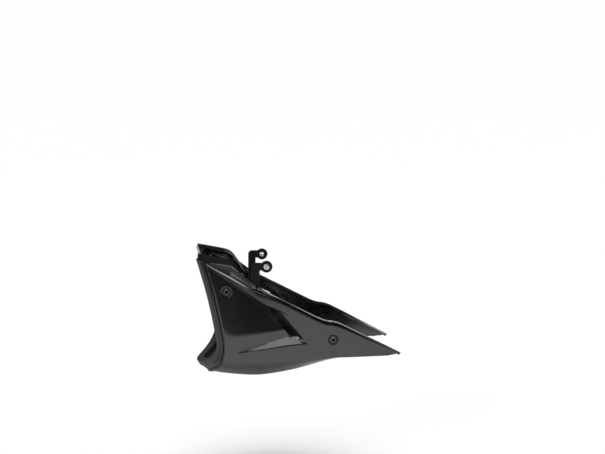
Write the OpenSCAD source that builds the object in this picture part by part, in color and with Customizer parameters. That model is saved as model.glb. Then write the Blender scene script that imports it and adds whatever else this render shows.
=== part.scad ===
/* [Overall] */
// Length from the chin lip to the tail tip
pan_l = 365; // [350:1:385]
// Half width over the side panels at their widest place
half_w = 145; // [136:1:155]
// Wall thickness of the mouldings
wall = 3; // [2.4:0.1:3.4]
// Distance from the chin lip back to the widest place
wide_x = 130; // [110:1:150]
// Height of the widest place above the keel
wide_z = 110; // [95:1:125]
// How much the panels draw in along their length, as a parabola over the pan length
plan_bow = 40; // [30:1:50]
// How much the panels draw in over their height, as a parabola over the pan height
crown = 30; // [22:1:38]

/* [Top edge] */
// Height of the front top corner of a side panel
top_z = 216; // [208:1:222]
// Distance from the chin lip to the front top corner of a side panel
top_x = 16; // [14:1:20]
// Distance back to the knee in the top edge
knee_x = 62; // [56:1:68]
// Drop of the top edge from the front corner to the knee
knee_drop = 5; // [3:1:9]
// Distance back to the bracket notch in the top edge
notch_x = 106; // [102:1:110]
// Height of the top edge at the notch
notch_z = 175; // [171:1:179]
// Distance back to the flat in the rear rib
flat_x = 225; // [217:1:233]
// Height of the top edge at the start of that flat
flat_z = 116; // [112:1:120]
// Length of the flat in the rear rib
flat_l = 25; // [20:1:30]
// Height of the tail tip
tail_z = 55; // [52:1:58]
// Width of the top shelf at the front corner
shelf_w = 30; // [24:1:34]
// Rise of the shelf from its outer edge to its ridge
shelf_rise = 13; // [10:1:16]
// Width of the rolled lip behind the notch
lip_w = 9; // [7:1:12]
// Depth of the light chamfer at the knee, measured across the pan
chamfer_in = 14; // [10:1:17]
// Height of the light chamfer at the knee
chamfer_h = 21; // [17:1:24]
// Thickness of the rear rib, measured down the panel
rib_h = 5; // [4:0.5:6]

/* [Facet and vent] */
// Distance back to the top front corner of the vent
vent_x = 120; // [117:1:123]
// Height of that corner
vent_z = 144; // [141:1:147]
// Length of the top edge of the vent
vent_l = 28; // [24:1:32]
// Drop along the top edge of the vent
vent_drop = 11; // [8:1:14]
// Distance back from the top front to the bottom front corner of the vent
vent_rake = 46; // [42:1:50]
// Height of the front edge of the vent
vent_h = 58; // [54:1:62]
// Distance back to the point where vent and ledge meet
point_x = 197; // [192:1:202]
// Height of that point
point_z = 74; // [72:1:78]
// How deep the facet is sunk at the top of the vent
facet_sink = 17; // [14:1:18]
// How deep the facet is sunk under the knee
knee_sink = 10; // [8:0.5:11]
// How deep the facet is sunk at the foot of the vent
foot_sink = 8; // [6:1:10]
// Height of the soft fold where the facet turns down to the ledge
fold_z = 90; // [87:1:94]
// How deep that fold is sunk at the vent
fold_sink = 4; // [3:0.5:6]
// Width of the slanted return wall along the rear edge of the vent
return_w = 9; // [7:0.5:11]
// Depth of that return wall
return_in = 14; // [11:1:17]
// Distance back to the front end of the ledge
ledge_x = 69; // [65:1:73]
// Height of the front end of the ledge
ledge_z = 56; // [54:1:58]
// Height of the ledge face at the vent
ledge_h = 15; // [12:1:17]

/* [Front edge and nose] */
// Distance back to the corner in the front edge of a side panel
corner_x = 52; // [49:1:55]
// Height of that corner
corner_z = 72; // [70:1:75]
// Bow of the front edge, as a share of its rake
edge_bow = 0.4; // [0.3:0.05:0.5]
// Width of the nose rim along the keel
rim_w = 15; // [14:1:17]
// Distance from the chin lip back to the corner of the nose rim
nose_corner_x = 37; // [35:1:38]
// Height of the front top corner of the nose rim
nose_top_z = 222; // [220:1:225]
// Bow of the nose rim, as a share of its rake
nose_bow = 0.52; // [0.4:0.04:0.6]
// Height of the chin lip above the keel
lip_z = 25; // [23:1:27]
// Depth of the nose limb at its top, measured inwards
limb_depth = 30; // [26:1:34]
// Depth of the nose limb at its corner, measured inwards
limb_foot = 16; // [14:1:20]
// Depth of the chin roll at the middle
chin_depth = 13; // [11:1:15]
// Height of the bead and bands on the nose rim
bead_h = 1.4; // [1:0.1:1.8]
// Length of the nose flange tucked under the side panels
tuck_l = 12; // [10:1:14]
// Gap between a side panel and the flange under it
tuck_gap = 0.6; // [0.5:0.1:0.8]

/* [Belly] */
// Height of the crease where the side turns under
crease_z = 48; // [46:1:50]
// Distance back to the lowest place of the keel
keel_x = 105; // [95:1:115]
// Rise of the keel towards the chin
keel_nose_rise = 17; // [15:1:19]
// How late the keel sweeps up to the rear end of the floor, as a power
keel_power = 1.8; // [1.6:0.1:2.2]
// How blunt the nose is in plan, as a power
nose_power = 1.5; // [1.3:0.1:1.8]
// Distance back to the rear end of the floor
floor_x = 262; // [255:1:268]
// Height of the upright seam flange along the keel
seam_h = 14; // [12:1:16]

/* [Panel screws] */
// Radius of the panel screw thread
screw_r = 3; // [2.5:0.5:3]
// Radius of the panel screw head
head_r = 5.8; // [5:0.1:6.2]
// Height of the panel screw head
head_h = 3.2; // [2.6:0.1:3.6]
// Distance back to the front panel screw
front_screw_x = 54; // [52:1:57]
// Height of the front panel screw
front_screw_z = 164; // [160:1:168]
// Depth of the front screw seat below the line of the side
front_seat = 8.6; // [8.2:0.1:9]
// Distance back to the rear panel screw
rear_screw_x = 243; // [239:1:247]
// Height of the rear panel screw
rear_screw_z = 80; // [77:1:83]
// Depth of the rear screw seat below the line of the side
rear_seat = 2.2; // [1.8:0.1:2.8]
// Radius of the round dish that a panel screw sits in
dish_r = 9; // [8.5:0.1:9.5]
// Thickness of the panel at a screw seat
boss_t = 4; // [3.4:0.1:4.6]
// Radius of the rubber grommet
grommet_r = 7.8; // [7.2:0.1:8]
// Radius of the hole in the panel that the grommet snaps into
grommet_hole_r = 6; // [5.6:0.1:6.4]
// Thickness of each grommet lip
grommet_lip = 1.5; // [1.2:0.1:1.8]
// Outer radius of the steel bush in the grommet
bush_r = 4.4; // [4:0.1:4.8]
// Thickness of the flange on the bush
bush_flange = 1.2; // [1:0.1:1.5]
// Radius of the rivet nut body in the bracket
nut_r = 4.5; // [4.2:0.1:5]
// Length of the rivet nut body
nut_l = 11; // [9:1:13]

/* [Brackets] */
// Thickness of the bracket steel
bracket_t = 3; // [2.5:0.1:4]
// Width of the bracket strips
bracket_w = 14; // [12:1:16]
// Distance back to the engine bolt of the front bracket
ear_x = 125; // [122:1:128]
// Height of that bolt
ear_z = 208; // [204:1:211]
// Radius of the round ear about that bolt
ear_r = 10.5; // [9.5:0.5:11]
// Height at which the front bracket passes behind the facet
foot_z = 152; // [148:1:156]
// Distance from the middle of the pan to the inner tab of a rear bracket
tab_w = 92; // [88:1:98]
// Distance back to the engine bolt of the rear bracket
tab_x = 221; // [218:1:224]
// Radius of the engine bolt threads
bolt_r = 3; // [2.5:0.5:4]
// Radius of the engine bolt heads
bolt_head_r = 5.3; // [4.9:0.1:6]
// Height of the engine bolt heads
bolt_head_h = 4; // [3:0.5:5]
// Free length of the engine bolts past their shoulders
bolt_free = 22; // [18:1:26]

/* [Seam fasteners] */
// Number of screws along the keel seam
seam_n = 3; // [2:1:4]
// Distance back to the first seam screw
seam_x0 = 55; // [50:1:60]
// Distance back to the last seam screw
seam_x1 = 225; // [215:1:232]
// Radius of the seam screws
seam_r = 2.5; // [2:0.5:2.5]
// Height of the seam screws above the keel
seam_up = 9.2; // [9:0.1:9.4]
// Distance of each chin rivet from the middle
rivet_w = 34; // [30:1:40]
// Radius of the chin rivets
rivet_r = 2.5; // [2:0.5:2.5]

/* [Hidden] */

black_plastic = "#2a2b2d";
black_steel = "#1b1c1e";
rubber = "#151515";
silver = "#b9bcc0";
eps = 0.01;
through = 60;
clearance = 0.2;

// The pan is drawn from its chin lip and set about the middle of its length
module place() translate([-pan_l / 2, 0, 0]) children();

function mix(a, b, t) = a + (b - a) * t;
function unit(v) = norm(v) < 1e-9 ? [0, 0, 0] : v / norm(v);
function total(v, i = 0) = i < len(v) ? v[i] + total(v, i + 1) : [0, 0, 0];
function clamp(t) = min(1, max(0, t));

// Half width of the side at a place in side view
function side_w(x, z) = half_w - plan_bow * pow((x - wide_x) / pan_l, 2)
    - crown * pow((z - wide_z) / top_z, 2);

// Height of the keel line at a distance from the chin lip
function keel_z(x) = x < keel_x ? keel_nose_rise * pow((keel_x - x) / keel_x, 2)
    : crease_z * pow((x - keel_x) / (floor_x - keel_x), keel_power);

// The front edge of a side panel, from its top to its corner
function edge_x(z) = let (s = clamp((top_z - z) / (top_z - corner_z)))
    mix(top_x, corner_x, s + edge_bow * s * (1 - s));

// Rows run down the panel and knots run back along it. Each gives distance back, height and inset.
tail_drop = 5;
tail_cut = 25;
crest_drop = 3;
facet_drop = 5;
rib_in = 3;
tail = [for (r = [0 : 11]) let (f = r / 11)
    [mix(pan_l, pan_l - tail_cut, f), mix(tail_z, tail_z - tail_drop, f), mix(2, 0, f)]];
rib_a = [mix(notch_x, flat_x, 0.28), mix(notch_z, flat_z, 0.28)];
rib_c = [flat_x + flat_l, flat_z - 3];
vent_foot = [vent_x + vent_rake, vent_z - vent_h];

function rear(d, inset, f) = [[rib_a[0] + d * 0.5, rib_a[1] - d, inset],
    [flat_x + d * 0.2, flat_z - d, inset], [rib_c[0] + d * 0.2, rib_c[1] - d, inset], tail[f]];
knee_z = top_z - knee_drop;
facet_line = function(x) mix(top_z - facet_drop, vent_z, (x - top_x) / (vent_x - top_x));

top_row = concat([[top_x, top_z, 1], [knee_x, knee_z, chamfer_in], [notch_x, notch_z, 6]],
    rear(0, rib_in, 0));
bead_row = concat([[top_x, top_z - 1, 0.8], [knee_x - 1, knee_z - chamfer_h * 0.42, chamfer_in * 0.55],
    [notch_x - 1, notch_z - 4, 3.5]], rear(rib_h * 0.45, -0.4, 1));
groove_row = concat([[top_x, top_z - 2, 0.5], [knee_x - 2, knee_z - chamfer_h * 0.76, chamfer_in * 0.3],
    [notch_x - 2, notch_z - 7, 3]], rear(rib_h, 1.2, 2));
crest_row = concat([[top_x, top_z - crest_drop, 0], [knee_x - 2, knee_z - chamfer_h, 0],
    [notch_x, notch_z - 12, 0]], rear(rib_h + 4, 0, 3));
facet_edge = [[edge_x(top_z - facet_drop), top_z - facet_drop, 0], [knee_x, facet_line(knee_x), 0],
    [vent_x, vent_z, 0], [vent_x + vent_l, vent_z - vent_drop, 0],
    [flat_x + 4, flat_z - 18, 0], [floor_x - 10, flat_z - 22, 0], tail[4]];
facet_top = [for (k = [0 : 6]) facet_edge[k] + [0, -1, k == 1 ? knee_sink : k == 2 ? facet_sink : 0]];
vent_line = function(z, x0, x1, z0, z1) [mix(x0, x1, (z0 - z) / (z0 - z1)), z];
fold_row = [[edge_x(fold_z + 2), fold_z + 2, 0], [ledge_x - 2, fold_z - 2, 0.5],
    concat(vent_line(fold_z + 7, vent_x, vent_foot[0], vent_z, vent_foot[1]), fold_sink),
    concat(vent_line(fold_z - 5, vent_x + vent_l, point_x, vent_z - vent_drop, point_z), 0),
    [flat_x + 10, point_z, 0], [floor_x - 6, point_z - 2, 0], tail[8]];
ledge_inner = [[corner_x, corner_z, 0], [ledge_x, ledge_z, 0],
    [vent_foot[0], vent_foot[1], foot_sink], [point_x, point_z + 1, 0],
    [flat_x + 12, point_z - 7, 0], [floor_x - 4, point_z - 9, 0], tail[9]];
ledge_outer = [[corner_x + 0.5, mix(corner_z, crease_z, 0.4), 0], [ledge_x + 1, ledge_z - 1, 0],
    [vent_foot[0] + 3, vent_foot[1] - ledge_h, 0], [point_x + 1, point_z - 1, 0],
    [flat_x + 14, point_z - 12, 0], [floor_x - 2, point_z - 13, 0], tail[10]];
crease_row = [[corner_x - 2, crease_z, 0], [ledge_x + 3, crease_z, 0],
    [vent_foot[0] + 9, crease_z, 0], [point_x + 9, crease_z, 0],
    [flat_x + 20, crease_z, 0], [floor_x, crease_z, 0], tail[11]];

// The shelf rises inwards from the top edge and dies into the rolled lip between knee and notch
shelf_end = 4/3;
lip_start = 5/3;
shelf_drop = 7;
function ridge_pt(u) = on_row(top_row, u) + [
    lookup(u, [[0, -8], [1, 5], [shelf_end, 3], [lip_start, 0], [5, 0], [6, -2]]),
    lookup(u, [[0, shelf_rise], [1, shelf_rise * 0.7], [shelf_end, shelf_rise], [lip_start, -1], [6, -1]]),
    lookup(u, [[0, shelf_w], [1, shelf_w * 0.7], [shelf_end, shelf_w * 0.6], [lip_start, lip_w], [5, lip_w],
        [6, lip_w * 0.4]])];

// Rows between the facet's top and its fold follow the front edge at their first knot
facet_n = 4;
function facet_row(t) = [for (k = [0 : 6]) let (p = mix(facet_top[k], fold_row[k], t))
    k == 0 ? [edge_x(p[1]), p[1], 0] : p];
side_rows = concat([top_row, top_row, top_row, bead_row, groove_row, crest_row, facet_edge, facet_top],
    [for (i = [1 : facet_n - 1]) facet_row(i / (facet_n - 1))], [ledge_inner, ledge_outer, crease_row]);
hole_r0 = 7;
hole_r1 = hole_r0 + facet_n;
crease_r = len(side_rows) - 1;
belly_n = 6;
seam_row = crease_r + belly_n + 1;

// Columns of the panel: whole numbers are the knots, one column is the vent's return wall, and one
// passes through the lowest place of the keel. The seam flange starts behind the nose's own flange.
return_u = 2.62;
keel_u = 1 + (mix(corner_x - 2, floor_x, (keel_x - rim_w) / (floor_x - rim_w)) - crease_row[1][0])
    / (crease_row[2][0] - crease_row[1][0]);
columns = [0, 1/3, 2/3, 1, 4/3, keel_u, 5/3, 2, return_u, 3, 10/3, 11/3, 4, 4.5, 5, 5.25, 5.5, 5.75, 6];
vent_col = 7;
floor_col = 14;
flange_col = 2;

function on_row(row, u) = let (k = min(5, floor(u))) mix(row[k], row[k + 1], u - k);
function side_knot(r, u) = let (q = side_rows[r][3])
    r == 0 ? ridge_pt(u) + [0, -shelf_drop, 1]
    : r == 1 ? ridge_pt(u)
    : u == return_u && r >= hole_r0 && r < hole_r1 ? [q[0] - return_w, q[1] + return_w * 0.3, return_in]
    : on_row(side_rows[r], u);
function side_pt(p) = [p[0], -(side_w(p[0], p[1]) - p[2]), p[1]];

// Below the crease the section is a quarter of an ellipse down to the keel
function belly_front(a) = rim_w + (corner_x - 2 - rim_w) * pow(max(0, cos(a)), nose_power);
function belly_pt(xc, a) = let (w0 = side_w(xc, crease_z),
    f = (xc - (corner_x - 2)) / (floor_x - (corner_x - 2)), x = mix(belly_front(a), floor_x, f))
    [x, a >= 90 ? 0 : -w0 * cos(a), crease_z - (crease_z - keel_z(x)) * sin(a)];
function panel_pt(u, r) = r <= crease_r ? side_pt(side_knot(r, u))
    : let (xc = on_row(crease_row, min(u, 5))[0], a = min(90, 90 * (r - crease_r) / belly_n),
           p = belly_pt(xc, a)) r < seam_row ? p : p + [0, 0, seam_h];

// True for the cells of the grid that are plastic
function kept(i, j) = i >= 0 && j >= 0 && i < len(columns) - 1 && j < seam_row
    && !(i == vent_col && j >= hole_r0 && j < hole_r1)
    && !(j >= crease_r && i >= floor_col) && !(j == 0 && i >= vent_col)
    && !(j == seam_row - 1 && i < flange_col);

// Solid shell of one wall thickness inside a grid of points
module shell(grid, t) {
    n = len(grid);
    m = len(grid[0]);
    cells = [for (i = [0 : n - 2]) [for (j = [0 : m - 2])
        unit(cross(grid[i + 1][j + 1] - grid[i][j], grid[i][j + 1] - grid[i + 1][j]))]];
    inner = [for (i = [0 : n - 1]) [for (j = [0 : m - 1])
        let (near = [for (a = [i - 1, i]) for (b = [j - 1, j]) if (kept(a, b)) cells[a][b]],
             dir = unit(total(near)), fit = len(near) == 0 ? 1 : min([for (c = near) c * dir]))
        grid[i][j] + dir * t / max(0.6, fit)]];
    points = concat([for (col = grid) each col], [for (col = inner) each col]);
    o = function(i, j) i * m + j;
    q = function(i, j) n * m + i * m + j;
    faces = [for (i = [0 : n - 2]) for (j = [0 : m - 2]) if (kept(i, j)) each concat(
        [[o(i, j), o(i + 1, j), o(i + 1, j + 1)], [o(i, j), o(i + 1, j + 1), o(i, j + 1)],
         [q(i, j), q(i + 1, j + 1), q(i + 1, j)], [q(i, j), q(i, j + 1), q(i + 1, j + 1)]],
        kept(i, j - 1) ? [] : wall_faces(o(i, j), o(i + 1, j), q(i, j), q(i + 1, j)),
        kept(i + 1, j) ? [] : wall_faces(o(i + 1, j), o(i + 1, j + 1), q(i + 1, j), q(i + 1, j + 1)),
        kept(i, j + 1) ? [] : wall_faces(o(i + 1, j + 1), o(i, j + 1), q(i + 1, j + 1), q(i, j + 1)),
        kept(i - 1, j) ? [] : wall_faces(o(i, j + 1), o(i, j), q(i, j + 1), q(i, j)))];
    polyhedron(points, faces, convexity = 8);
}
function wall_faces(a, b, c, d) = [[b, a, c], [b, c, d]];

// Seats of the two panel screws, as distance back, half width and height
front_at = [front_screw_x, side_w(front_screw_x, front_screw_z) - front_seat, front_screw_z];
rear_at = [rear_screw_x, side_w(rear_screw_x, rear_screw_z) - rear_seat, rear_screw_z];
dish_h = 8;
bush_end = boss_t + grommet_lip + bush_flange;
nut_flange = 1;
front_plate = bush_end + wall + nut_flange;
rear_plate = bush_end + nut_flange;

// Local +Z points into the pan from a place on its left side
module seat(at) translate([at[0], -at[1], at[2]]) rotate([-90, 0, 0]) children();
module right() mirror([0, 1, 0]) children();

module side_panel() color(black_plastic) place() difference() {
    union() {
        shell([for (u = columns) [for (r = [0 : seam_row]) panel_pt(u, r)]], wall);
        for (at = [front_at, rear_at]) seat(at)
            translate([0, 0, -boss_t / 2]) cylinder(h = 1.5 * boss_t, r = dish_r + 2, $fn = 48);
    }
    for (at = [front_at, rear_at]) seat(at) {
        translate([0, 0, -dish_h]) cylinder(h = dish_h, r = dish_r, $fn = 48);
        cylinder(h = through, r = grommet_hole_r, center = true, $fn = 48);
    }
    notch_cut();
    seam_places() cylinder(h = 4 * wall, r = seam_r + clearance, center = true, $fn = 32);
    rivet_place() cylinder(h = 8 * wall, r = rivet_r, center = true, $fn = 32);
}

bracket_w0 = front_at[1] - front_plate;
notch_gap = 1;
notch_w = bracket_w + 2 * notch_gap;
module notch_cut() translate([notch_x - notch_w / 2, -bracket_w0 - bracket_t, notch_z - through / 2])
    cube([notch_w, bracket_t + notch_w, through]);

module seam_places() for (i = [0 : seam_n - 1]) let (x = mix(seam_x0, seam_x1, i / (seam_n - 1)))
    translate([x, 0, keel_z(x) + seam_up]) rotate([-90, 0, 0]) children();

// A chin rivet stands square to the floor, half way along the flange that the nose tucks under it
rivet_a = acos(rivet_w / side_w(corner_x, crease_z));
rivet_xc = corner_x - 2 + tuck_l * 0.6;
rivet_at = belly_pt(rivet_xc, rivet_a);
rivet_n = unit(cross(belly_pt(rivet_xc + 1, rivet_a) - rivet_at, belly_pt(rivet_xc, rivet_a + 1) - rivet_at));
module rivet_place() translate(rivet_at)
    rotate([0, acos(rivet_n[2]), atan2(rivet_n[1], rivet_n[0])]) children();

// The nose piece follows the front edge of the panels, station by station, from the top to the middle
nose_rows = [2, hole_r0 - 1, for (r = [hole_r0 + 1 : seam_row - 1]) r];
nose_n = len(nose_rows);
turn_a = 15;
function nose_angle(r) = r <= hole_r1 ? 0 : r <= crease_r ? turn_a * (r - hole_r1) / (crease_r - hole_r1)
    : mix(turn_a, 90, (r - crease_r) / belly_n);
function limb_s(r) = clamp((top_z - panel_pt(0, r)[2]) / (top_z - corner_z));
function limb_x(s) = mix(0, nose_corner_x, s + nose_bow * s * (1 - s));
function lip_pt(r) = let (s = limb_s(r), a = nose_angle(r), z = mix(nose_top_z, corner_z, s), x = limb_x(s),
    wc = side_w(nose_corner_x, corner_z))
    r <= hole_r1 ? [x, -side_w(x, z), z]
    : [nose_corner_x * pow(max(0, cos(a)), nose_power), a >= 90 ? 0 : -wc * cos(a),
       corner_z - (corner_z - lip_z) * sin(a)];
nose_lip = [for (r = nose_rows) lip_pt(r)];
nose_back = [for (r = nose_rows) panel_pt(0, r)];
nose_tuck = [for (r = nose_rows) let (p = panel_pt(0, r), q = panel_pt(1, r))
    p + unit(q - p) * (r < hole_r0 ? tuck_gap : tuck_l)];
function run(list, i) = i == nose_n - 1 ? [0, 1, 0]
    : unit(list[i + 1] - list[max(0, i - 1)]);

// Section of the nose at a station, as distances back from the lip and outwards
step = 0.3;
function section(i) = let (p = nose_lip[i], q = nose_back[i], a = unit(q - p), l = norm(q - p),
    n = unit(cross(run(nose_lip, i), a)), b = unit(nose_tuck[i] - q),
    m = unit(cross(run(nose_back, i), b)), s = limb_s(nose_rows[i]), k = nose_angle(nose_rows[i]) / 90,
    d = mix(limb_depth, limb_foot, s), g = wall + tuck_gap, top = i == 0 ? 1 : 0, e = mix(step, 2, top),
    face = mix([[1.2, -4], [2.2, -d / 2], [4, -d]],
        [[-1, -5], [0, -chin_depth * 0.8], [8, -chin_depth - 1]], k),
    back = mix(mix([[4 + wall, -d], [2.2 + wall, -d / 2], [2 + wall, -wall - 2.5]],
        [[8, -d], [9.5, -d / 2], [l - 6, -g - wall - 2]], top),
        [[8.5, wall - 1 - chin_depth], [3, wall - chin_depth * 0.8], [4, -wall - 1.5]], k),
    rim = [[0.86 * l, 0], [0.82 * l, -bead_h], [0.76 * l, -bead_h], [0.72 * l, 0.2], [0.4 * l, 0.2],
        [0.34 * l, bead_h], [0.24 * l, bead_h], [0.16 * l, 0], [0, 0]],
    inside = mix([0.45 * l, -wall - 0.4], [l - e - wall - 0.6, -g - wall - 0.6], top))
    concat([nose_tuck[i] - m * g, q - b * e - m * g, q - b * e - m * step],
        [for (f = concat(rim, face, back, [inside]))
            p + a * f[0] + n * f[1] + [0, 0, top * (shelf_rise - 6) * max(0, -f[1]) / d]],
        [q - b * (e + wall) - m * mix(wall + 0.4, g + wall - step, top),
         q - b * (e + wall) - m * (g + wall), nose_tuck[i] - m * (g + wall)]);

// For each point on the outside of a section, the point across the wall from it
across = [21, 20, 19, 19, 19, 19, 19, 18, 18, 18, 18, 17, 17, 16, 15];

module nose_piece() color(black_plastic) place() difference() {
    union() {
        half = [for (i = [0 : nose_n - 1]) section(i)];
        rings = concat(half, [for (i = [nose_n - 2 : -1 : 0]) [for (p = half[i]) [p[0], -p[1], p[2]]]]);
        c = len(half[0]);
        last = (len(rings) - 1) * c;
        cap = [for (k = [0 : len(across) - 2]) each concat([[k, k + 1, across[k + 1]]],
            across[k] == across[k + 1] ? [] : [[k, across[k + 1], across[k]]])];
        polyhedron([for (ring = rings) each ring], concat(
            cap, [for (t = cap) [t[0] + last, t[2] + last, t[1] + last]],
            [for (i = [0 : len(rings) - 2]) for (k = [0 : c - 1]) let (v = (k + 1) % c) each
                [[i * c + k, (i + 1) * c + k, (i + 1) * c + v], [i * c + k, (i + 1) * c + v, i * c + v]]]),
            convexity = 10);
        nose_ear();
        right() nose_ear();
    }
    nose_holes();
    right() nose_holes();
}
ear_half = 10;
limb_back = limb_x((nose_top_z - front_screw_z) / (nose_top_z - corner_z)) + wall;
module nose_ear() seat(front_at) translate([0, 0, bush_end]) {
    cylinder(h = wall, r = ear_half, $fn = 48);
    translate([limb_back - front_screw_x, -ear_half, 0])
        cube([front_screw_x - limb_back, 2 * ear_half, wall]);
}
module nose_holes() {
    seat(front_at) cylinder(h = through, r = screw_r + clearance, center = true, $fn = 32);
    rivet_place() cylinder(h = 10 * wall, r = rivet_r, center = true, $fn = 32);
}

// A flat strip with round ends, drawn in side view
module strip(p, q, w) {
    translate(p) circle(d = w, $fn = 48);
    translate(q) circle(d = w, $fn = 48);
    translate(p) rotate(atan2(q[1] - p[1], q[0] - p[0])) translate([0, -w / 2]) square([norm(q - p), w]);
}
// A sheet drawn in side view, with its outer face at half width w
module sheet(w, t = bracket_t) translate([0, t - w, 0]) rotate([90, 0, 0]) linear_extrude(t) children();

bolt_clear = 0.25;
shoulder_r = bolt_r + 1;
shoulder_l = bracket_t + 0.5;
module front_bracket() color(black_steel) place() sheet(bracket_w0) difference() {
    union() {
        strip([front_screw_x, front_screw_z], [notch_x, foot_z], bracket_w);
        translate([front_screw_x, front_screw_z]) circle(r = nut_r + 5, $fn = 48);
        strip([notch_x, foot_z], [notch_x, ear_z], bracket_w);
        strip([notch_x, ear_z], [ear_x, ear_z], bracket_w);
        translate([ear_x, ear_z]) circle(r = ear_r, $fn = 48);
    }
    translate([front_screw_x, front_screw_z]) circle(r = nut_r, $fn = 48);
    translate([ear_x, ear_z]) circle(r = shoulder_r + bolt_clear, $fn = 48);
}

rear_w0 = rear_at[1] - rear_plate;
bend_x = rear_screw_x + 16;
rear_half = 11;
module rear_bracket() color(black_steel) place() {
    sheet(rear_w0) difference() {
        union() {
            translate([rear_screw_x, rear_screw_z]) circle(r = rear_half, $fn = 48);
            translate([rear_screw_x, rear_screw_z - rear_half])
                square([bend_x - rear_screw_x + bracket_t, 2 * rear_half]);
        }
        translate([rear_screw_x, rear_screw_z]) circle(r = nut_r, $fn = 48);
    }
    translate([bend_x, -rear_w0, rear_screw_z - rear_half])
        cube([bracket_t, rear_w0 - tab_w + bracket_t, 2 * rear_half]);
    sheet(tab_w) difference() {
        union() {
            translate([tab_x, rear_screw_z]) circle(r = rear_half, $fn = 48);
            translate([tab_x, rear_screw_z - rear_half]) square([bend_x - tab_x + bracket_t, 2 * rear_half]);
        }
        translate([tab_x, rear_screw_z]) circle(r = shoulder_r + bolt_clear, $fn = 48);
    }
}

// Rubber ring that snaps into the panel
module grommet() color(rubber) difference() {
    union() {
        translate([0, 0, -grommet_lip]) cylinder(h = grommet_lip, r = grommet_r, $fn = 48);
        cylinder(h = boss_t, r = grommet_hole_r, $fn = 48);
        translate([0, 0, boss_t]) cylinder(h = grommet_lip, r = grommet_r, $fn = 48);
    }
    cylinder(h = through, r = bush_r, center = true, $fn = 48);
}
// Steel sleeve that stops the screw crushing the rubber
module bush() color(silver) difference() {
    union() {
        translate([0, 0, -grommet_lip]) cylinder(h = bush_end + grommet_lip, r = bush_r, $fn = 48);
        translate([0, 0, boss_t + grommet_lip]) cylinder(h = bush_flange, r = grommet_r, $fn = 48);
    }
    cylinder(h = through, r = screw_r + clearance, center = true, $fn = 48);
}
// Depth of a hexagon key socket, as a share of its screw head
key_share = 0.6;
// Button head screw whose head seats at local -grommet_lip
module panel_screw(plate) color(black_steel) translate([0, 0, -grommet_lip]) difference() {
    rotate_extrude($fn = 64) polygon([[0, -head_h], [head_r * 0.55, -head_h], [head_r * 0.84, -head_h * 0.72],
        [head_r, -head_h * 0.25], [head_r, 0], [screw_r, 0], [screw_r, plate + nut_l], [0, plate + nut_l]]);
    translate([0, 0, -head_h - eps]) cylinder(h = head_h * key_share, r = screw_r * 0.78, $fn = 6);
}
module rivet_nut(plate) color(silver) translate([0, 0, plate]) difference() {
    union() {
        translate([0, 0, -nut_flange]) cylinder(h = nut_flange, r = nut_r + 2, $fn = 48);
        cylinder(h = nut_l, r = nut_r, $fn = 48);
    }
    cylinder(h = through, r = screw_r, center = true, $fn = 48);
}
module engine_bolt() color(silver) difference() {
    union() {
        translate([0, 0, -bolt_head_h]) cylinder(h = bolt_head_h, r = bolt_head_r, $fn = 48);
        cylinder(h = shoulder_l, r = shoulder_r, $fn = 48);
        translate([0, 0, shoulder_l - eps]) cylinder(h = bolt_free + eps, r = bolt_r, $fn = 48);
    }
    translate([0, 0, -bolt_head_h - eps]) cylinder(h = bolt_head_h * key_share, r = bolt_r * 0.96, $fn = 6);
}
module at_ear() place() seat([ear_x, bracket_w0, ear_z]) children();
module at_tab() place() seat([tab_x, tab_w, rear_screw_z]) children();

seam_head_r = seam_r * 1.8;
seam_head_h = 2.5;
seam_nut_h = 4;
seam_spare = 1;
module seam_screws() color(black_steel) place() seam_places() {
    translate([0, 0, -wall - seam_head_h]) cylinder(h = seam_head_h, r = seam_head_r, $fn = 32);
    translate([0, 0, -wall]) cylinder(h = 2 * wall + seam_nut_h + seam_spare, r = seam_r, $fn = 32);
}
module seam_nuts() color(silver) place() seam_places() translate([0, 0, wall]) difference() {
    cylinder(h = seam_nut_h, r = seam_head_r, $fn = 6);
    cylinder(h = through, r = seam_r, center = true, $fn = 32);
}
rivet_head = 2;
rivet_play = 0.4;
rivet_grip = 2 * wall + tuck_gap + rivet_play;
module chin_rivet() place() rivet_place() {
    translate([0, 0, -rivet_head - rivet_play]) cylinder(h = rivet_head, r = rivet_r * 2, $fn = 32);
    translate([0, 0, -rivet_play - eps])
        cylinder(h = rivet_grip + rivet_play + 2 * eps, r = rivet_r, $fn = 32);
    translate([0, 0, rivet_grip]) cylinder(h = rivet_head, r = rivet_r * 1.7, $fn = 32);
}
module chin_rivets() color(black_plastic) {
    chin_rivet();
    right() chin_rivet();
}

side_panel();  // left_side_panel
right() side_panel();  // right_side_panel
nose_piece();
front_bracket();  // left_front_bracket
right() front_bracket();  // right_front_bracket
rear_bracket();  // left_rear_bracket
right() rear_bracket();  // right_rear_bracket
place() seat(front_at) grommet();  // left_front_grommet
place() seat(rear_at) grommet();  // left_rear_grommet
right() place() seat(front_at) grommet();  // right_front_grommet
right() place() seat(rear_at) grommet();  // right_rear_grommet
place() seat(front_at) bush();  // left_front_bush
place() seat(rear_at) bush();  // left_rear_bush
right() place() seat(front_at) bush();  // right_front_bush
right() place() seat(rear_at) bush();  // right_rear_bush
place() seat(front_at) panel_screw(front_plate);  // left_front_panel_screw
place() seat(rear_at) panel_screw(rear_plate);  // left_rear_panel_screw
right() place() seat(front_at) panel_screw(front_plate);  // right_front_panel_screw
right() place() seat(rear_at) panel_screw(rear_plate);  // right_rear_panel_screw
place() seat(front_at) rivet_nut(front_plate);  // left_front_rivet_nut
place() seat(rear_at) rivet_nut(rear_plate);  // left_rear_rivet_nut
right() place() seat(front_at) rivet_nut(front_plate);  // right_front_rivet_nut
right() place() seat(rear_at) rivet_nut(rear_plate);  // right_rear_rivet_nut
at_ear() engine_bolt();  // left_front_bracket_bolt
right() at_ear() engine_bolt();  // right_front_bracket_bolt
at_tab() engine_bolt();  // left_rear_bracket_bolt
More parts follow.
